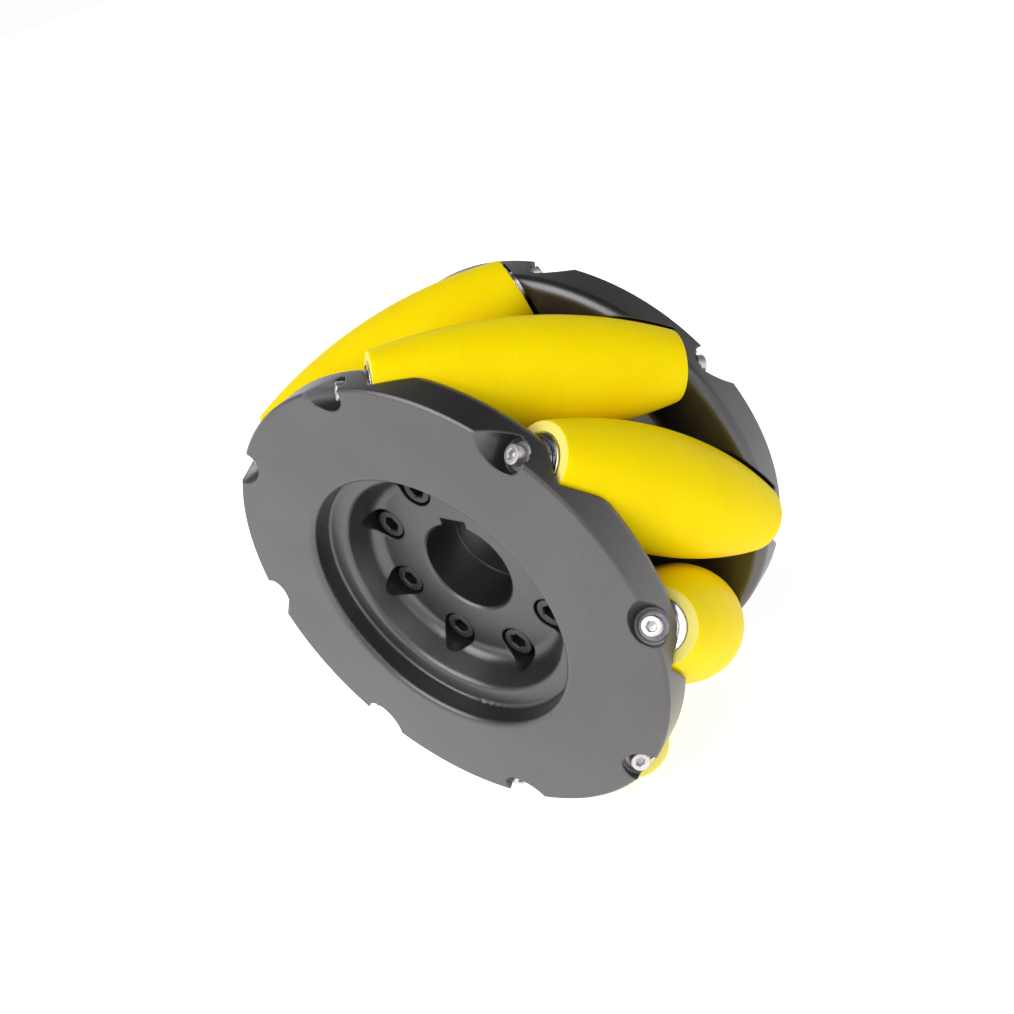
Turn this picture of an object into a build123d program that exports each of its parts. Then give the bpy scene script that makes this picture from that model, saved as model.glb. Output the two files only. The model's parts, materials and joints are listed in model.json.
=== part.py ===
from build123d import *
import os
from math import cos, pi, radians, sin, sqrt, tan

# A mecanum wheel of the 8 inch class. Two cast aluminium hub halves are screwed together
# around a keyed bore and hold eight barrel rollers, each on its own shaft at 45 degrees.
# Origin at the wheel's centre. The wheel's axle is the Y axis, the front half is on the -Y
# side and the keyway is at the top, on +Z. Millimetres.

os.makedirs("parts", exist_ok=True)

# ---------------------------------------------------------------- driving dimensions
wheel_radius = 101.5          # rolling circle that the rollers touch, 203 mm across
half_width = 52.0             # centre plane to the outer face of each hub half
plate_radius = 95.75          # outer rim of each hub half
roller_count = 8
roller_tilt = 45.0            # degrees between a roller's shaft and the wheel's axle
first_roller_angle = 22.5     # degrees from +X towards +Z
shaft_circle_radius = 79.35   # wheel axle to the middle of a roller shaft

# hub half
face_edge_chamfer = 0.9
rim_depth = 16.8              # thickness of the rim, outer face to its inner side
rim_back_round = 4.5
recess_lip_radius = 59.6
recess_wall_top = 57.2
recess_wall_foot = 56.8
ledge_depth = 9.6
ledge_lip_radius = 49.6
ledge_lip_depth = 11.0
inner_wall_foot = 44.6
hub_floor_depth = 25.0
drum_root_radius = 70.0       # where the drum leaves the inner side of the rim
drum_middle_radius = 60.0
drum_middle_depth = 31.0
drum_waist_radius = 54.5      # at the centre plane, inside the rollers
bore_radius = 20.0
bore_chamfer = 1.0
key_width = 12.0
key_height = 3.3              # above the bore
spigot_radius = 29.0          # the rear half centres in the front half
spigot_length = 5.5
spigot_clearance = 0.05
seam_chamfer = 0.35

# hub screws, M8 socket head
hub_screw_count = 8
hub_screw_circle = 37.5
hub_hole_radius = 4.5
hub_pocket_radius = 7.3
hub_pocket_start = 37.7       # the pocket is a slot running outwards, between these distances
hub_pocket_end = 39.6         # from the axle to the middles of its round ends
hub_seat_depth = 33.5
m8_radius = 4.0
m8_head_radius = 6.5
m8_head_height = 8.0
m8_key_flats = 6.0
m8_key_depth = 4.0
m8_screw_length = 50.0
m8_nut_flats = 12.0           # small series
m8_nut_height = 8.0
m8_nut_collar_radius = 5.3
m8_nut_collar_height = 2.0

# rollers, in distances along a roller's own shaft from its middle
tread_half_length = 56.4
tread_edge_round = 0.7
tread_mouth_radius = 9.7
tread_lip_length = 1.6        # rubber that covers the core's end
core_radius = 10.6
core_bore_radius = 8.2
pocket_clearance = 1.4        # between a roller and the hub halves
land_distance = 58.3          # flat on the hub half that the shaft stands on
seat_distance = 64.2          # flat that the end screw's head stands on
seat_radius = 5.0
shoulder_distance = 65.0      # small step around the seat
shoulder_radius = 6.1
mouth_distance = 84.0
mouth_radius = 9.0

# roller shaft, M4 end screws, spacers
shaft_radius = 4.0
tapped_depth = 14.0
m4_radius = 2.0
m4_hole_radius = 2.25
m4_head_radius = 3.5
m4_head_height = 4.0
m4_key_flats = 3.0
m4_key_depth = 2.0
m4_screw_length = 16.0
spacer_radius = 7.0
sleeve_radius = 5.3
bore_fit = 0.03               # of spacers, sleeves and inner rings on the shaft

# ball bearing, 8 x 19 x 6
bearing_radius = 9.5
bearing_width = 6.0
bearing_face = 57.0           # outer face of the bearing along the shaft
ball_radius = 1.7
ball_circle = 6.75
ball_count = 7
groove_clearance = 0.05
inner_land_radius = 5.45
outer_land_radius = 8.05
shield_seat_radius = 8.35
shield_seat_depth = 0.6
shield_thickness = 0.3
shield_inner_radius = 5.75
cage_inner_radius = 6.05
cage_outer_radius = 7.45
cage_width = 4.5
ball_pocket_radius = 1.78

roller_angles = [first_roller_angle + 360 / roller_count * k for k in range(roller_count)]
screw_angles = [first_roller_angle + 360 / hub_screw_count * k for k in range(hub_screw_count)]


# ---------------------------------------------------------------- helpers
def around_axle(angle):
    """Turn about the wheel's axle that brings +X to this angle."""
    return Rot(0, -angle, 0)


def on_roller(angle):
    """Frame of one roller: its shaft along local Y, the wheel's outside along local X."""
    return around_axle(angle) * Pos(shaft_circle_radius, 0, 0) * Rot(-roller_tilt, 0, 0)


def outline(corners):
    """Closed face through (radius, height, corner radius) points."""
    face = make_face(Polyline(*[(x, y) for x, y, _ in corners], close=True))
    for x, y, rounding in corners:
        if rounding > 0:
            corner = face.vertices().sort_by_distance((x, y, 0))[0]
            face = fillet(corner, rounding)
    return face


def turned(corners):
    """Solid of revolution about Y from (radius, height, corner radius) points."""
    return revolve(outline(corners), Axis.Y)


def ring(inner, outer, low, high):
    """Plain ring about Y between two heights."""
    return turned([(inner, low, 0), (outer, low, 0), (outer, high, 0), (inner, high, 0)])


def rod(radius, low, high):
    """Plain cylinder about Y between two heights."""
    return turned([(0, low, 0), (radius, low, 0), (radius, high, 0), (0, high, 0)])


def hexagon(flats, low, high):
    """Six-sided bar about Y between two heights."""
    side = extrude(Plane.XZ * RegularPolygon(flats / 2, 6, major_radius=False), high - low)
    return Pos(0, high, 0) * side


def save(name, pieces):
    """Write one node: a solid, or several separate solids."""
    solids = [solid for piece in pieces for solid in piece.solids()]
    shape = solids[0] if len(solids) == 1 else Compound(solids)
    export_step(shape, "parts/" + name + ".step")


def barrel_point(contact):
    """Distance from a roller's middle and radius there, where it touches the rolling circle.

    contact is the angle, seen along the wheel's axle, between that touch and the roller's middle.
    """
    tilt = radians(roller_tilt)
    rolling = wheel_radius * sin(contact)
    crossing = shaft_circle_radius * tan(contact)
    distance = (rolling + crossing * cos(tilt) ** 2 / sin(tilt) ** 2) * sin(tilt)
    aside = (crossing - rolling) * cos(tilt)
    height = wheel_radius * cos(contact) - shaft_circle_radius
    return distance, sqrt(height ** 2 + aside ** 2)


def barrel_radius(distance):
    """Roller radius at a distance from its middle, found by halving the contact angle's range."""
    low, high = 0.0, pi / 4
    for _ in range(50):
        middle = (low + high) / 2
        if barrel_point(middle)[0] < distance:
            low = middle
        else:
            high = middle
    return barrel_point(low)[1]


# ---------------------------------------------------------------- hub halves
def hub_blank():
    """Front hub half before its pockets, from its outer face at -Y to the centre plane."""
    front = -half_width
    drum = ThreePointArc(
        (drum_root_radius, front + rim_depth),
        (drum_middle_radius, front + drum_middle_depth),
        (drum_waist_radius, 0),
    )
    side = Polyline(
        (drum_waist_radius, 0),
        (bore_radius + seam_chamfer, 0),
        (bore_radius, -seam_chamfer),
        (bore_radius, front + hub_floor_depth + bore_chamfer),
        (bore_radius + bore_chamfer, front + hub_floor_depth),
        (inner_wall_foot, front + hub_floor_depth),
        (ledge_lip_radius, front + ledge_lip_depth),
        (recess_wall_foot, front + ledge_depth),
        (recess_wall_top, front),
        (plate_radius - face_edge_chamfer, front),
        (plate_radius, front + face_edge_chamfer),
        (plate_radius, front + rim_depth),
        (drum_root_radius, front + rim_depth),
    )
    face = make_face(drum.edges() + side.edges())
    rounded = [
        (inner_wall_foot, hub_floor_depth, 6.0),
        (ledge_lip_radius, ledge_lip_depth, 3.0),
        (recess_wall_foot, ledge_depth, 1.2),
        (recess_wall_top, 0, recess_lip_radius - recess_wall_top),
        (plate_radius, rim_depth, rim_back_round),
        (drum_root_radius, rim_depth, 4.0),
    ]
    for radius, depth, rounding in rounded:
        corner = face.vertices().sort_by_distance((radius, front + depth, 0))[0]
        face = fillet(corner, rounding)
    return revolve(face, Axis.Y)


def roller_room():
    """Space for one roller, up to the flats that its shaft stands on."""
    end = barrel_radius(land_distance) + pocket_clearance
    middle = barrel_radius(0) + pocket_clearance
    bulge = ThreePointArc((end, -land_distance), (middle, 0), (end, land_distance))
    rest = Polyline((end, land_distance), (0, land_distance), (0, -land_distance), (end, -land_distance))
    return revolve(make_face(bulge.edges() + rest.edges()), Axis.Y)


def end_screw_pocket():
    """Clearance hole, machined seat and tapered mouth for a roller's end screw, towards -Y."""
    return turned([
        (0, -land_distance + 1, 0),
        (m4_hole_radius, -land_distance + 1, 0),
        (m4_hole_radius, -seat_distance, 0),
        (seat_radius, -seat_distance, 0),
        (seat_radius, -shoulder_distance, 0),
        (shoulder_radius, -shoulder_distance, 0),
        (mouth_radius, -mouth_distance, 0),
        (0, -mouth_distance, 0),
    ])


key_top = bore_radius + key_height
keyway = Pos(0, 0, key_top / 2) * Box(key_width, 3 * half_width, key_top)


def hub_half():
    """One hub half with its roller pockets, end screw pockets and hub screw pockets."""
    seat = -half_width + hub_seat_depth
    hub_hole = Pos(hub_screw_circle, 0, 0) * rod(hub_hole_radius, -half_width, 1)
    slot_length = hub_pocket_end - hub_pocket_start
    slot_middle = Pos((hub_pocket_start + hub_pocket_end) / 2, (seat - half_width) / 2, 0)
    hub_hole += slot_middle * Box(slot_length, seat + half_width, 2 * hub_pocket_radius)
    for distance in (hub_pocket_start, hub_pocket_end):
        hub_hole += Pos(distance, 0, 0) * rod(hub_pocket_radius, -half_width, seat)
    rooms = [on_roller(angle) * roller_room() for angle in roller_angles]
    pockets = [on_roller(angle) * end_screw_pocket() for angle in roller_angles]
    holes = [around_axle(angle) * hub_hole for angle in screw_angles]
    return hub_blank() - rooms - pockets - holes - keyway


half = hub_half()
# the rear half is the same casting turned over about the keyway's direction, then machined
# with a spigot where the front half gets the matching socket
rear = Rot(0, 0, 180) * half
socket = ring(
    bore_radius, spigot_radius + spigot_clearance, -spigot_length, 0
) + ring(bore_radius - 1, bore_radius + seam_chamfer, -spigot_length, 0)
spigot = turned([
    (bore_radius, seam_chamfer, 0),
    (spigot_radius, seam_chamfer, 0),
    (spigot_radius, -spigot_length, 0),
    (bore_radius + seam_chamfer, -spigot_length, 0),
    (bore_radius, -spigot_length + seam_chamfer, 0),
])
front_half = half - socket
rear_half = rear + (spigot - keyway)
save("front_hub_half", [front_half])
save("rear_hub_half", [rear_half])


# ---------------------------------------------------------------- fasteners
def cap_screw(radius, length, head_radius, head_height, key_flats, key_depth):
    """Socket head screw along Y: head on the -Y side of the origin, shank towards +Y."""
    tip = radius * 0.2
    body = turned([
        (0, -head_height, 0),
        (head_radius, -head_height, head_height * 0.08),
        (head_radius, 0, 0),
        (radius, 0, 0),
        (radius, length - tip, 0),
        (radius - tip, length, 0),
        (0, length, 0),
    ])
    return body - hexagon(key_flats, -head_height - 1, -head_height + key_depth)


def lock_nut():
    """M8 lock nut along Y, its flat side on the origin and its collar towards +Y."""
    corner = m8_nut_flats / sqrt(3)
    flats_top = m8_nut_height - m8_nut_collar_height
    bevel = corner - m8_nut_flats / 2
    body = hexagon(m8_nut_flats, 0, flats_top) & turned([
        (0, 0, 0),
        (corner - bevel * 0.6, 0, 0),
        (corner, bevel * 0.4, 0),
        (corner, flats_top - bevel * 0.6, 0),
        (corner - bevel, flats_top, 0),
        (0, flats_top, 0),
    ])
    collar = turned([
        (0, flats_top - 0.5, 0),
        (m8_nut_collar_radius, flats_top - 0.5, 0),
        (m8_nut_collar_radius, m8_nut_height, 0.7),
        (0, m8_nut_height, 0),
    ])
    return body + collar - rod(m8_radius, -1, m8_nut_height + 1)


hub_seat = half_width - hub_seat_depth
hub_screw = Pos(0, -hub_seat, 0) * cap_screw(
    m8_radius, m8_screw_length, m8_head_radius, m8_head_height, m8_key_flats, m8_key_depth
)
hub_nut = Pos(0, hub_seat, 0) * Rot(0, 30, 0) * lock_nut()  # a flat faces the axle
hub_places = [around_axle(angle) * Pos(hub_screw_circle, 0, 0) for angle in screw_angles]
save("hub_screws", [place * hub_screw for place in hub_places])
save("hub_lock_nuts", [place * hub_nut for place in hub_places])

turn_over = Rot(0, 0, 180)
end_screw = Pos(0, -seat_distance, 0) * cap_screw(
    m4_radius, m4_screw_length, m4_head_radius, m4_head_height, m4_key_flats, m4_key_depth
)
end_pair = [end_screw, turn_over * end_screw]
roller_frames = [on_roller(angle) for angle in roller_angles]
save("roller_end_screws", [frame * screw for frame in roller_frames for screw in end_pair])


# ---------------------------------------------------------------- fixed shafts
def roller_shaft():
    """Shaft with a tapped hole and a small chamfer at each end."""
    shaft = turned([
        (0, -land_distance, 0),
        (shaft_radius - 0.5, -land_distance, 0),
        (shaft_radius, -land_distance + 0.5, 0),
        (shaft_radius, land_distance - 0.5, 0),
        (shaft_radius - 0.5, land_distance, 0),
        (0, land_distance, 0),
    ])
    for turn in (Rot(0, 0, 0), turn_over):
        shaft -= turn * rod(m4_radius, -land_distance - 1, -land_distance + tapped_depth)
    return shaft


def bearing_inner_ring():
    """Inner ring with its ball groove, centred on the origin."""
    body = ring(shaft_radius + bore_fit, inner_land_radius, -bearing_width / 2, bearing_width / 2)
    groove = Torus(ball_circle, ball_radius + groove_clearance)
    return body - Rot(90, 0, 0) * groove


core_half_length = tread_half_length - tread_lip_length
bearing_middle = bearing_face - bearing_width / 2
bearing_back = bearing_face - bearing_width
both_ends = [Pos(0, -bearing_middle, 0), Pos(0, bearing_middle, 0)]
fit_radius = shaft_radius + bore_fit
shaft = roller_shaft()
sleeve = ring(fit_radius, sleeve_radius, -bearing_back, bearing_back)
spacers = [
    ring(fit_radius, spacer_radius, -land_distance, -bearing_face),
    ring(fit_radius, spacer_radius, bearing_face, land_distance),
]
inner_rings = [place * bearing_inner_ring() for place in both_ends]
save("roller_shafts", [frame * shaft for frame in roller_frames])
save("shaft_sleeves", [frame * sleeve for frame in roller_frames])
save("end_spacers", [frame * spacer for frame in roller_frames for spacer in spacers])
save("bearing_inner_rings", [frame * inner for frame in roller_frames for inner in inner_rings])


# ---------------------------------------------------------------- turning rollers
def roller_tread():
    """Polyurethane barrel, moulded around the core and over its two ends."""
    end = barrel_radius(tread_half_length)
    middle = barrel_radius(0)
    barrel = ThreePointArc((end, -tread_half_length), (middle, 0), (end, tread_half_length))
    rest = Polyline(
        (end, tread_half_length),
        (tread_mouth_radius, tread_half_length),
        (tread_mouth_radius, core_half_length),
        (core_radius, core_half_length),
        (core_radius, -core_half_length),
        (tread_mouth_radius, -core_half_length),
        (tread_mouth_radius, -tread_half_length),
        (end, -tread_half_length),
    )
    face = make_face(barrel.edges() + rest.edges())
    for side in (-1, 1):
        corner = face.vertices().sort_by_distance((end, side * tread_half_length, 0))[0]
        face = fillet(corner, tread_edge_round)
    return revolve(face, Axis.Y)


def roller_core():
    """Metal tube with a counterbore for a bearing at each end."""
    return turned([
        (core_bore_radius, -bearing_back, 0),
        (bearing_radius, -bearing_back, 0),
        (bearing_radius, -core_half_length, 0),
        (core_radius, -core_half_length, 0),
        (core_radius, core_half_length, 0),
        (bearing_radius, core_half_length, 0),
        (bearing_radius, bearing_back, 0),
        (core_bore_radius, bearing_back, 0),
    ])


def bearing_outer_ring():
    """Outer ring with its ball groove and a seat for a shield at each side."""
    side = bearing_width / 2
    inside = side - shield_seat_depth
    body = turned([
        (outer_land_radius, -inside, 0),
        (shield_seat_radius, -inside, 0),
        (shield_seat_radius, -side, 0),
        (bearing_radius, -side, 0.3),
        (bearing_radius, side, 0.3),
        (shield_seat_radius, side, 0),
        (shield_seat_radius, inside, 0),
        (outer_land_radius, inside, 0),
    ])
    groove = Torus(ball_circle, ball_radius + groove_clearance)
    return body - Rot(90, 0, 0) * groove


def bearing_cage():
    """Ring with one round pocket for each ball."""
    body = ring(cage_inner_radius, cage_outer_radius, -cage_width / 2, cage_width / 2)
    for k in range(ball_count):
        pocket = Rot(0, 90, 0) * Cylinder(ball_pocket_radius, 4 * ball_radius)
        body -= Rot(0, 360 / ball_count * k, 0) * Pos(ball_circle, 0, 0) * pocket
    return body


shield_inside = bearing_width / 2 - shield_seat_depth
shields = [
    ring(shield_inner_radius, shield_seat_radius, -shield_inside - shield_thickness, -shield_inside),
    ring(shield_inner_radius, shield_seat_radius, shield_inside, shield_inside + shield_thickness),
]
balls = [
    Rot(0, 360 / ball_count * k, 0) * Pos(ball_circle, 0, 0) * Sphere(ball_radius)
    for k in range(ball_count)
]
tread = roller_tread()
core = roller_core()
outer_ring = bearing_outer_ring()
cage = bearing_cage()
for number, frame in enumerate(roller_frames, start=1):
    name = "roller_" + str(number)
    ends = [frame * place for place in both_ends]
    save(name + "_tread", [frame * tread])
    save(name + "_core", [frame * core])
    save(name + "_outer_rings", [end * outer_ring for end in ends])
    save(name + "_cages", [end * cage for end in ends])
    save(name + "_balls", [end * ball for end in ends for ball in balls])
    save(name + "_shields", [end * shield for end in ends for shield in shields])
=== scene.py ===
import json
import math

import bpy
from mathutils import Matrix, Vector


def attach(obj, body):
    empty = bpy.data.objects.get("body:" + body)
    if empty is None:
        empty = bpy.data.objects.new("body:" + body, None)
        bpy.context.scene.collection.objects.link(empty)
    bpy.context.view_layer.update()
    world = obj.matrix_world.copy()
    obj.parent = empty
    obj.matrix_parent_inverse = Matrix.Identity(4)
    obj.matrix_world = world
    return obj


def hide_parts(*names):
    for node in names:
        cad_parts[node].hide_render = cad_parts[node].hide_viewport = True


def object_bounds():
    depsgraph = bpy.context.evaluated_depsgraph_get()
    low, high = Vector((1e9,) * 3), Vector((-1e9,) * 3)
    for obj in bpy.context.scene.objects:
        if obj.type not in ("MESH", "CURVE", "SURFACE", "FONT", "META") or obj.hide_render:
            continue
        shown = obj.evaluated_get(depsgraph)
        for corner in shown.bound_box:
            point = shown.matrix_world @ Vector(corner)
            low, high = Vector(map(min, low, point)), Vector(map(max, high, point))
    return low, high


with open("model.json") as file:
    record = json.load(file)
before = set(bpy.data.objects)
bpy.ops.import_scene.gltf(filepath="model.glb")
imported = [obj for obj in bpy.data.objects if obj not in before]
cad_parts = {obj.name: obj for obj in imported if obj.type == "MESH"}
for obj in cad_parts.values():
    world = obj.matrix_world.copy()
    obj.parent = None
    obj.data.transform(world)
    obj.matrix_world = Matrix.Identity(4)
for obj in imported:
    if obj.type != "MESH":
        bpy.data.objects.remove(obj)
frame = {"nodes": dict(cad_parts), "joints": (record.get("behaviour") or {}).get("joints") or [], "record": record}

# A mecanum wheel standing on a white table. Metres, with the wheel's axle along Y.
# The CAD nodes stay where they are. Treads, screws and nuts are remade as finer meshes.

cad_low, cad_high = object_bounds()
nodes = frame["nodes"]
MM = 0.001
ROLLERS = range(1, 9)

# ---------------------------------------------------------------- sizes, as in the CAD
TREAD_HALF_LENGTH = 56.4 * MM
TREAD_MIDDLE_RADIUS = 22.15 * MM
TREAD_END_RADIUS = 13.34 * MM
TREAD_EDGE_ROUND = 0.7 * MM
TREAD_MOUTH_RADIUS = 9.7 * MM
TREAD_LIP_LENGTH = 1.6 * MM
TREAD_BORE_BEVEL = 0.25 * MM
END_FACE_DEPTH = 0.08 * MM    # the paler colour of a tread's end, partly a painted highlight, reaches this far in
CORE_RADIUS = 10.6 * MM
SEAT_DISTANCE = 64.2 * MM
SEAT_RADIUS = 5.0 * MM
SEAT_HOLE_RADIUS = 2.25 * MM
SEAT_RING_HEIGHT = 0.10 * MM
SEAT_RING_BEVEL = 0.09 * MM
SEAT_RING_GAP = 0.03 * MM
HUB_SEAT = 18.5 * MM
HUB_SCREW_CIRCLE = 37.5 * MM
HUB_SCREW_COUNT = 8
KEY_TURN = 0.7                # radians from one hub screw's key to the next one's
NYLON_INNER = 3.95 * MM
NYLON_OUTER = 4.5 * MM
NYLON_BOTTOM = 5.6 * MM
NYLON_TOP = 7.72 * MM
EDGE_SOFTNESS = 1.1 * MM      # rounding that the casting's shading gives its edges
FIRST_ANGLE = math.radians(22.5)
ROUND = 96                    # segments round every turned piece
HALF_TURN = math.pi
FULL_TURN = 2 * math.pi


# ---------------------------------------------------------------- mesh helpers
def polar_mesh(name, rings, closed_start=True, closed_end=True, segments=ROUND):
    """Mesh about local Y. A ring is (radius, height); radius may be a function of the angle."""
    points, faces = [], []
    for radius, height in rings:
        for step in range(segments):
            angle = FULL_TURN * step / segments
            r = radius(angle) if callable(radius) else radius
            points.append((r * math.cos(angle), height, r * math.sin(angle)))
    for ring in range(len(rings) - 1):
        for step in range(segments):
            a = ring * segments + step
            b = ring * segments + (step + 1) % segments
            faces.append((a, b, b + segments, a + segments))
    last = (len(rings) - 1) * segments
    if closed_start:
        faces.append(tuple(reversed(range(segments))))
    if closed_end:
        faces.append(tuple(range(last, last + segments)))
    mesh = bpy.data.meshes.new(name)
    mesh.from_pydata(points, [], faces)
    mesh.validate()
    mesh.update()
    return mesh


def smooth(obj, sharp_angle=32):
    """Smooth shading that keeps edges sharper than the angle, in degrees."""
    for polygon in obj.data.polygons:
        polygon.use_smooth = True
    sharp = math.radians(sharp_angle)
    normals = {}
    for polygon in obj.data.polygons:
        for key in polygon.edge_keys:
            normals.setdefault(key, []).append(polygon.normal)
    for edge in obj.data.edges:
        sides = normals.get(edge.key, [])
        edge.use_edge_sharp = len(sides) == 2 and sides[0].angle(sides[1], 0.0) > sharp
    return obj


def piece(name, mesh, place, body, material):
    """A new mesh piece at a place in the row frame, riding on a CAD body."""
    obj = bpy.data.objects.new(name, mesh)
    bpy.context.scene.collection.objects.link(obj)
    obj.matrix_world = place
    if not mesh.materials:
        mesh.materials.append(material)
    smooth(obj)
    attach(obj, body)
    return obj


def frame_matrix(origin, radial, axis):
    """Placement with local X along radial and local Y along axis."""
    x = radial.normalized()
    y = axis.normalized()
    z = x.cross(y)
    rotation = Matrix((x, y, z)).transposed()
    return Matrix.Translation(origin) @ rotation.to_4x4()


roller_places = []
for joint in frame["joints"]:
    centre = Vector(joint["pos_m"])
    roller_places.append(frame_matrix(centre, centre, Vector(joint["axis"])))
turn_over = Matrix.Rotation(HALF_TURN, 4, "Z")


# ---------------------------------------------------------------- node helpers
class Nodes:
    """Short calls for building one material's nodes."""

    def __init__(self, name):
        self.material = bpy.data.materials.new(name)
        self.material.use_nodes = True
        self.tree = self.material.node_tree
        self.shader = next(n for n in self.tree.nodes if n.type == "BSDF_PRINCIPLED")

    def add(self, kind, **settings):
        node = self.tree.nodes.new(kind)
        for key, value in settings.items():
            setattr(node, key, value)
        return node

    def link(self, output, socket):
        self.tree.links.new(output, socket)

    def feed(self, value, socket):
        if isinstance(value, (int, float, tuple)):
            socket.default_value = value
        else:
            self.link(value, socket)

    def math(self, operation, a, b=0.0, c=0.0):
        node = self.add("ShaderNodeMath", operation=operation)
        for value, socket in zip((a, b, c), node.inputs):
            self.feed(value, socket)
        return node.outputs[0]

    def place(self):
        return self.add("ShaderNodeTexCoord").outputs["Object"]

    def split(self, vector):
        node = self.add("ShaderNodeSeparateXYZ")
        self.link(vector, node.inputs[0])
        return node.outputs

    def scaled(self, vector, x, y, z):
        node = self.add("ShaderNodeMapping")
        self.link(vector, node.inputs["Vector"])
        node.inputs["Scale"].default_value = (x, y, z)
        return node.outputs[0]

    def noise(self, vector, scale, detail=3.0, rough=0.55):
        node = self.add("ShaderNodeTexNoise")
        self.link(vector, node.inputs["Vector"])
        node.inputs["Scale"].default_value = scale
        node.inputs["Detail"].default_value = detail
        node.inputs["Roughness"].default_value = rough
        return node.outputs["Fac"]

    def ramp(self, value, low, high):
        """Stretch 0.3 to 0.7, where noise mostly lies, to the range from low to high."""
        node = self.add("ShaderNodeMapRange")
        self.link(value, node.inputs["Value"])
        node.inputs["From Min"].default_value = 0.3
        node.inputs["From Max"].default_value = 0.7
        node.inputs["To Min"].default_value = low
        node.inputs["To Max"].default_value = high
        return node.outputs[0]

    def mix(self, factor, a, b):
        node = self.add("ShaderNodeMix", data_type="RGBA")
        self.feed(factor, node.inputs["Factor"])
        self.feed(a, node.inputs["A"])
        self.feed(b, node.inputs["B"])
        return node.outputs["Result"]

    def bump(self, height, distance, strength=1.0, normal=None):
        node = self.add("ShaderNodeBump")
        self.link(height, node.inputs["Height"])
        node.inputs["Distance"].default_value = distance
        node.inputs["Strength"].default_value = strength
        if normal is not None:
            self.link(normal, node.inputs["Normal"])
        return node.outputs[0]

    def finish(self, base, roughness, metallic=0.0, normal=None, emission=0.0, **constants):
        """Fill the shader. Constants are set on its own sockets."""
        self.feed(base, self.shader.inputs["Base Color"])
        self.feed(roughness, self.shader.inputs["Roughness"])
        self.feed(metallic, self.shader.inputs["Metallic"])
        self.feed(emission, self.shader.inputs["Emission Strength"])
        if normal is not None:
            self.link(normal, self.shader.inputs["Normal"])
        for key, value in constants.items():
            self.shader.inputs[key.replace("_", " ")].default_value = value
        return self.material


# ---------------------------------------------------------------- materials
def hub_coating():
    """Satin dark grey coating on cast aluminium, with a fine grain and faint clouding."""
    n = Nodes("hub_coating")
    here = n.place()
    cloud = n.noise(here, 22.0, 4.0)
    grain = n.noise(here, 2600.0, 2.0)
    specks = n.noise(here, 900.0, 3.0, 0.7)
    dark, light = (0.106, 0.102, 0.105, 1), (0.144, 0.139, 0.143, 1)
    base = n.mix(n.ramp(cloud, 0.2, 0.8), dark, light)
    base = n.mix(n.math("MULTIPLY", n.ramp(specks, 0.0, 1.0), 0.25), base, (0.085, 0.082, 0.084, 1))
    rough = n.math("ADD", n.ramp(cloud, 0.27, 0.33), n.math("MULTIPLY", grain, 0.05))
    soft_edges = n.add("ShaderNodeBevel", samples=4)
    soft_edges.inputs["Radius"].default_value = EDGE_SOFTNESS
    normal = n.bump(specks, 0.00005, 0.8, soft_edges.outputs[0])
    normal = n.bump(grain, 0.00002, 0.6, normal)
    return n.finish(base, rough, 0.90, normal)


def polyurethane():
    """Yellow cast polyurethane, ground round, paler on the flat ends, partly as a painted highlight."""
    n = Nodes("yellow_polyurethane")
    here = n.place()
    along = n.math("ABSOLUTE", n.split(here)[1])
    painted_highlight_end = n.math("GREATER_THAN", along, TREAD_HALF_LENGTH - END_FACE_DEPTH)
    cloud = n.noise(here, 35.0, 3.0)
    rings = n.noise(n.scaled(here, 6.0, 1500.0, 6.0), 1.0, 2.0)
    pores = n.noise(here, 1400.0, 2.0)
    base = n.mix(n.ramp(cloud, 0.0, 1.0), (0.93, 0.70, 0.002, 1), (0.97, 0.76, 0.003, 1))
    base = n.mix(n.ramp(rings, 0.0, 0.22), base, (0.80, 0.56, 0.001, 1))
    # the flat ends get a paler colour: partly a painted highlight for the light they catch, partly their paler cut
    # surface
    base = n.mix(painted_highlight_end, base, (0.93, 0.80, 0.20, 1))
    rough = n.math("ADD", n.ramp(cloud, 0.34, 0.42), n.math("MULTIPLY", rings, 0.08))
    normal = n.bump(rings, 0.00005, 0.35)
    normal = n.bump(pores, 0.00002, 0.4, normal)
    return n.finish(base, rough, 0.0, normal, Subsurface_Weight=0.12, Subsurface_Scale=0.004,
                    Subsurface_Radius=(1.0, 0.7, 0.05), Specular_IOR_Level=0.02)


def metal(name, colour, rough_low, rough_high, metallic=1.0, brushed=(300.0, 300.0, 300.0)):
    """Bare or plated metal with fine scratches along one direction."""
    n = Nodes(name)
    here = n.place()
    scratches = n.noise(n.scaled(here, *brushed), 6.0, 3.0, 0.6)
    cloud = n.noise(here, 120.0, 3.0)
    darker = tuple(c * 0.78 for c in colour) + (1,)
    base = n.mix(n.ramp(cloud, 0.0, 1.0), darker, colour + (1,))
    rough = n.ramp(scratches, rough_low, rough_high)
    normal = n.bump(scratches, 0.00001, 0.4)
    return n.finish(base, rough, metallic, normal)


def table_top():
    """Plain white table that emits painted light, washing out the wheel's shadow and yellow bounce on it, most of
    all far behind the wheel.
    """
    n = Nodes("white_table")
    here = n.place()
    x, y, _ = n.split(here)
    # painted light: the table emits 0.74 near the wheel, rising to 1.0 far behind it, to wash out shadows
    painted_glow = n.ramp(n.math("SUBTRACT", y, x), 0.74, 1.0)
    cloud = n.noise(here, 3.0, 2.0)
    base = n.mix(n.ramp(cloud, 0.0, 1.0), (0.84, 0.84, 0.84, 1), (0.87, 0.87, 0.87, 1))
    return n.finish(base, 0.6, emission=painted_glow, Emission_Color=(1, 1, 1, 1))


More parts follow.
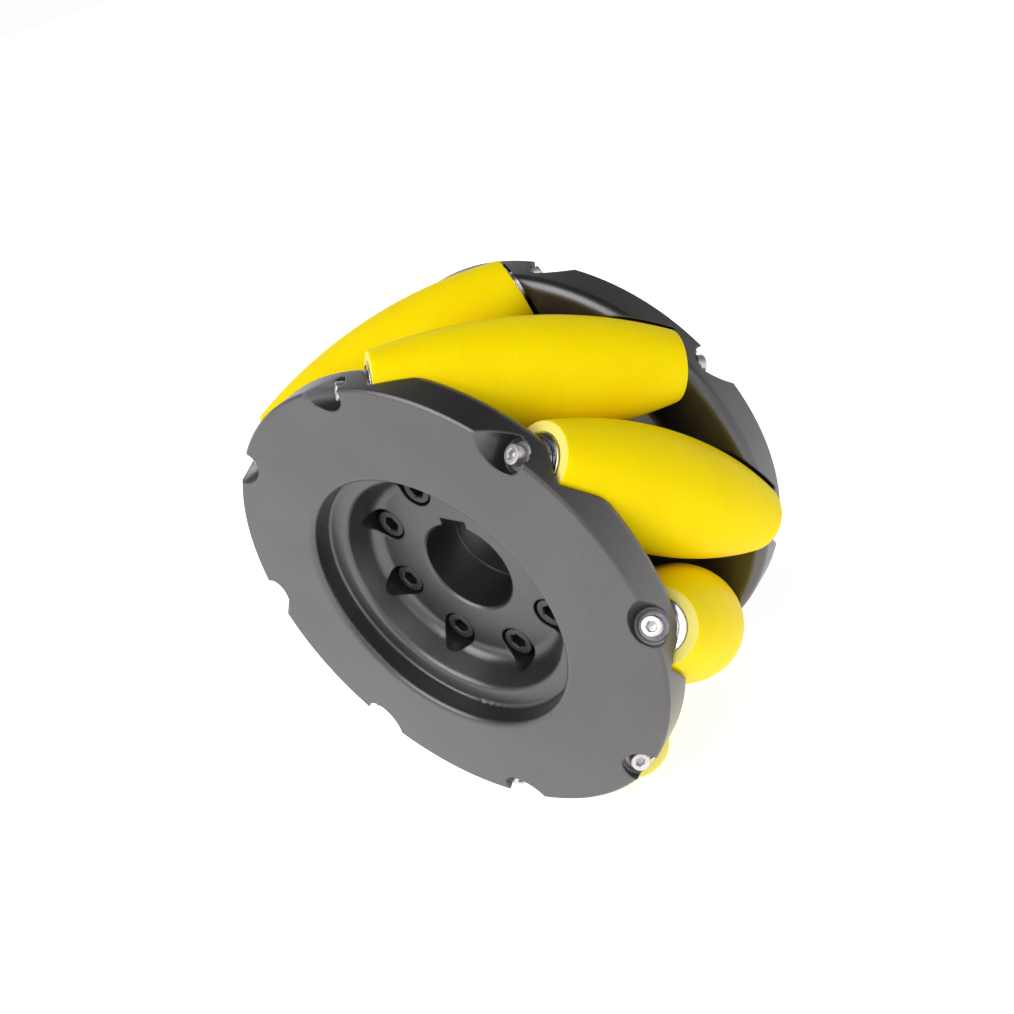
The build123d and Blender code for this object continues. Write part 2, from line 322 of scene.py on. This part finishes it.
coating = hub_coating()
yellow = polyurethane()
black_oxide = metal("black_oxide", (0.085, 0.082, 0.085), 0.30, 0.48, 0.9)
zinc = metal("zinc_plate", (0.62, 0.60, 0.60), 0.22, 0.38)
stainless = metal("stainless_steel", (0.68, 0.66, 0.65), 0.36, 0.52)
turned_aluminium = metal("turned_aluminium", (0.78, 0.78, 0.80), 0.25, 0.38)
bearing_steel = metal("bearing_steel", (0.74, 0.74, 0.78), 0.10, 0.22)
pressed_steel = metal("pressed_steel", (0.66, 0.66, 0.70), 0.18, 0.32)
bare_seat = metal("machined_seat", (0.33, 0.32, 0.35), 0.35, 0.60, 0.8)
nylon = metal("nylon_insert", (0.55, 0.60, 0.68), 0.45, 0.55, 0.0)
slot_looks = {
    "hub_casting": coating,
    "black_steel": black_oxide,
    "zinc_steel": zinc,
    "bright_steel": stainless,
    "plain_aluminium": turned_aluminium,
    "bearing_steel": bearing_steel,
    "cage_steel": pressed_steel,
    "shield_steel": pressed_steel,
    "yellow_polyurethane": yellow,
}
for part in frame["record"]["subparts"]:
    node = nodes[part["node"]]
    node.data.materials.clear()
    node.data.materials.append(slot_looks[part["material_slot"]])
    smooth(node, 25)


# ---------------------------------------------------------------- roller treads
def arc(centre, radius, start, end, steps):
    """Points (radius, height) along a circular arc, angles in radians from the radius axis."""
    points = []
    for step in range(steps + 1):
        angle = start + (end - start) * step / steps
        points.append((centre[0] + radius * math.cos(angle), centre[1] + radius * math.sin(angle)))
    return points


def tread_profile():
    """Outline of half a tread, from the middle of its bore over the end to the barrel's middle."""
    rise = TREAD_MIDDLE_RADIUS - TREAD_END_RADIUS
    barrel_radius = (TREAD_HALF_LENGTH ** 2 + rise ** 2) / (2 * rise)
    centre = TREAD_MIDDLE_RADIUS - barrel_radius
    e = TREAD_EDGE_ROUND
    # the edge's round touches the flat end and the barrel from inside
    edge_height = TREAD_HALF_LENGTH - e
    edge_radius = centre + math.sqrt((barrel_radius - e) ** 2 - edge_height ** 2)
    touch = math.atan2(edge_height, edge_radius - centre)
    core_end = TREAD_HALF_LENGTH - TREAD_LIP_LENGTH
    end = [(CORE_RADIUS, 0.0), (CORE_RADIUS, core_end), (TREAD_MOUTH_RADIUS, core_end)]
    end.append((TREAD_MOUTH_RADIUS, TREAD_HALF_LENGTH - TREAD_BORE_BEVEL))
    end.append((TREAD_MOUTH_RADIUS + TREAD_BORE_BEVEL, TREAD_HALF_LENGTH))
    end += arc((edge_radius, edge_height), e, math.pi / 2, touch, 6)
    end += arc((centre, 0.0), barrel_radius, touch, 0.0, 40)[1:]
    return end


upper = tread_profile()
lower = [(r, -h) for r, h in reversed(upper[:-1])]
tread_mesh = polar_mesh("tread", upper + lower, False, False, 160)
for number, place in zip(ROLLERS, roller_places):
    tread = piece(f"tread_{number}", tread_mesh, place, f"roller_{number}", yellow)
    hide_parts(f"roller_{number}_tread")


# ---------------------------------------------------------------- screws and nuts
def hexagon(flats):
    """Radius of a hexagon at an angle, for the distance across its flats."""
    def radius(angle):
        return flats / 2 / math.cos((angle + math.pi / 6) % (math.pi / 3) - math.pi / 6)
    return radius


def knurled(radius, grooves, depth):
    """Radius of a straight-knurled cylinder at an angle."""
    def at(angle):
        return radius - depth * (0.5 + 0.5 * math.cos(grooves * angle))
    return at


def threaded(radius, pitch, depth, height):
    """Radius of a screw thread at an angle, for one height."""
    def at(angle):
        phase = (height / pitch - angle / FULL_TURN) % 1.0
        return radius - depth * abs(2 * phase - 1)
    return at


def cap_screw(name, radius, length, head_radius, head_height, flats, key_depth, pitch, grooves,
              thread_length):
    """Socket head screw with a knurled head on -Y, its head's underside at the origin."""
    top = -head_height
    bevel = head_height * 0.07
    key = hexagon(flats)
    flare = hexagon(flats + 2 * bevel)
    side = knurled(head_radius, grooves, head_radius * 0.025)
    rings = [
        (flats * 0.06, top + key_depth * 1.25),
        (flats * 0.42, top + key_depth),
        (key, top + key_depth),
        (key, top + bevel),
        (flare, top),
        (head_radius - 2.6 * bevel, top),
        (head_radius - 1.0 * bevel, top + 0.25 * bevel),
        (head_radius - 0.3 * bevel, top + 1.1 * bevel),
        (side, top + 1.7 * bevel),
        (side, -1.6 * bevel),
        (head_radius - 0.25 * bevel, -0.9 * bevel),
        (head_radius - 0.6 * bevel, 0.0),
        (radius, 0.0),
        (radius, length - thread_length),
    ]
    steps = max(1, round(thread_length / pitch * 8))
    for step in range(steps):
        height = length - thread_length + thread_length * 0.96 * (step + 1) / steps
        rings.append((threaded(radius * 0.995, pitch, pitch * 0.45, height), height))
    rings.append((radius * 0.8, length))
    return polar_mesh(name, rings)


def nut_body(name, flats, hole, height, collar_radius, collar_height):
    """Hexagon lock nut with its flat side on the origin and a round collar towards +Y."""
    shape = hexagon(flats)
    corner = flats / math.sqrt(3)
    bevel = corner - flats / 2
    top = height - collar_height

    def cut(limit):
        return lambda angle: min(shape(angle), limit)

    rings = [
        (hole, 0.0),
        (cut(flats / 2 * 0.97), 0.0),
        (cut(flats / 2 * 1.05), bevel * 0.2),
        (cut(corner), bevel * 0.55),
        (cut(corner), top - bevel * 0.6),
        (cut(flats / 2 * 1.05), top - bevel * 0.2),
        (cut(flats / 2 * 0.97), top),
        (collar_radius + 0.35 * MM, top + 0.05 * MM),
        (collar_radius, top + 0.5 * MM),
        (collar_radius, height - 0.9 * MM),
        (collar_radius - 0.35 * MM, height - 0.2 * MM),
        (collar_radius - 1.1 * MM, height),
        (collar_radius - 1.2 * MM, height - 0.3 * MM),
        (hole, height - 0.4 * MM),
    ]
    return polar_mesh(name, rings, False, False)


end_screw_mesh = cap_screw(
    "end_screw", radius=2 * MM, length=16 * MM, head_radius=3.5 * MM, head_height=4 * MM,
    flats=3 * MM, key_depth=2 * MM, pitch=0.7 * MM, grooves=30, thread_length=0.0,
)
hub_screw_mesh = cap_screw(
    "hub_screw", radius=4 * MM, length=50 * MM, head_radius=6.5 * MM, head_height=8 * MM,
    flats=6 * MM, key_depth=4 * MM, pitch=1.25 * MM, grooves=36, thread_length=8 * MM,
)
nut_mesh = nut_body(
    "lock_nut", flats=12 * MM, hole=4 * MM, height=8 * MM, collar_radius=5.3 * MM,
    collar_height=2 * MM,
)
insert_mesh = polar_mesh("nylon_ring", [
    (NYLON_INNER, NYLON_BOTTOM),
    (NYLON_OUTER, NYLON_BOTTOM),
    (NYLON_OUTER, NYLON_TOP - 0.06 * MM),
    (NYLON_OUTER - 0.15 * MM, NYLON_TOP + 0.02 * MM),
    (NYLON_INNER, NYLON_TOP),
    (NYLON_INNER, NYLON_BOTTOM),
], False, False)

# bare machined ring that each end screw's head stands on
seat_edge = SEAT_RADIUS - SEAT_RING_GAP
seat_ring_mesh = polar_mesh("seat_ring", [
    (SEAT_HOLE_RADIUS, 0.0),
    (SEAT_HOLE_RADIUS, -SEAT_RING_HEIGHT),
    (seat_edge - SEAT_RING_BEVEL, -SEAT_RING_HEIGHT),
    (seat_edge, -0.6 * SEAT_RING_HEIGHT),
    (seat_edge, 0.0),
], False, False)

for number, place in zip(ROLLERS, roller_places):
    for side, turn in (("front", Matrix.Identity(4)), ("rear", turn_over)):
        seat = place @ turn @ Matrix.Translation((0, -SEAT_DISTANCE, 0))
        screw = piece(f"end_screw_{side}_{number}", end_screw_mesh, seat, "hub", stainless)
        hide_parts("roller_end_screws")
        piece(f"seat_ring_{side}_{number}", seat_ring_mesh, seat, "hub", bare_seat)

for k in range(HUB_SCREW_COUNT):
    turn = Matrix.Rotation(-(FIRST_ANGLE + FULL_TURN * k / HUB_SCREW_COUNT), 4, "Y")
    post = turn @ Matrix.Translation((HUB_SCREW_CIRCLE, 0, 0))
    head = post @ Matrix.Translation((0, -HUB_SEAT, 0)) @ Matrix.Rotation(KEY_TURN * k, 4, "Y")
    far = post @ Matrix.Translation((0, HUB_SEAT, 0)) @ Matrix.Rotation(HALF_TURN / 6, 4, "Y")
    screw = piece(f"hub_screw_{k + 1}", hub_screw_mesh, head, "hub", black_oxide)
    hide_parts("hub_screws")
    nut = piece(f"lock_nut_{k + 1}", nut_mesh, far, "hub", zinc)
    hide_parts("hub_lock_nuts")
    piece(f"nylon_insert_{k + 1}", insert_mesh, far, "hub", nylon)


# ---------------------------------------------------------------- table, light, camera
def area_light(name, place, target, width, height, power):
    """Rectangular softbox at a place, turned towards a target."""
    data = bpy.data.lights.new(name, "AREA")
    data.shape = "RECTANGLE"
    data.size, data.size_y = width, height
    data.energy = power
    light = bpy.data.objects.new(name, data)
    bpy.context.scene.collection.objects.link(light)
    light.location = place
    light.rotation_mode = "QUATERNION"
    light.rotation_quaternion = (Vector(target) - Vector(place)).to_track_quat("-Z", "Y")


TABLE_GAP = 0.2 * MM          # under the wheel, so that the two never touch
floor_mesh = bpy.data.meshes.new("table")
reach = 12.0
floor_mesh.from_pydata(
    [(-reach, -reach, 0), (reach, -reach, 0), (reach, reach, 0), (-reach, reach, 0)],
    [], [(0, 1, 2, 3)],
)
floor_mesh.materials.append(table_top())
floor = bpy.data.objects.new("table", floor_mesh)
bpy.context.scene.collection.objects.link(floor)
floor.location = (0, 0, cad_low.z - TABLE_GAP)

aim = (0, -0.1, 0)
area_light("left_softbox", (-0.25, -0.95, 1.1), aim, width=1.4, height=1.2, power=18.5)
area_light("right_softbox", (0.95, -0.55, 0.95), aim, width=1.2, height=1.0, power=3.5)

world = bpy.data.worlds.new("studio")
bpy.context.scene.world = world
world.use_nodes = True
# light walls near the horizon and a dark ceiling, which keeps the rims and the recess dark
world_nodes = world.node_tree.nodes
background = next(n for n in world_nodes if n.type == "BACKGROUND")
background.inputs["Color"].default_value = (0.97, 0.98, 1.0, 1)
direction = world_nodes.new("ShaderNodeTexCoord")
height = world_nodes.new("ShaderNodeSeparateXYZ")
fade = world_nodes.new("ShaderNodeMapRange")
fade.inputs["From Min"].default_value = 0.03
fade.inputs["From Max"].default_value = 0.75
fade.inputs["To Min"].default_value = 1.0
fade.inputs["To Max"].default_value = 0.04
world.node_tree.links.new(direction.outputs["Generated"], height.inputs[0])
world.node_tree.links.new(height.outputs["Z"], fade.inputs["Value"])
world.node_tree.links.new(fade.outputs[0], background.inputs["Strength"])

camera_data = bpy.data.cameras.new("camera")
camera_data.sensor_width = 36.0
camera_data.lens = 36.354
camera_data.shift_x = 0.087
camera_data.shift_y = -0.095
camera_data.clip_start = 0.01
camera = bpy.data.objects.new("camera", camera_data)
bpy.context.scene.collection.objects.link(camera)
camera_place = Vector((233.44, -261.99, 237.81)) * MM
look_azimuth, look_elevation, roll = 44.695, 26.550, -17.610
a, e = math.radians(look_azimuth), math.radians(look_elevation)
back = Vector((math.sin(a) * math.cos(e), -math.cos(a) * math.cos(e), math.sin(e)))
level = Vector((math.cos(a), math.sin(a), 0))
turned = Matrix.Rotation(math.radians(roll), 3, back) @ level
camera.matrix_world = Matrix.Translation(camera_place) @ Matrix(
    (turned, back.cross(turned), back)).transposed().to_4x4()
bpy.context.scene.camera = camera
bpy.context.scene.view_settings.view_transform = "Standard"
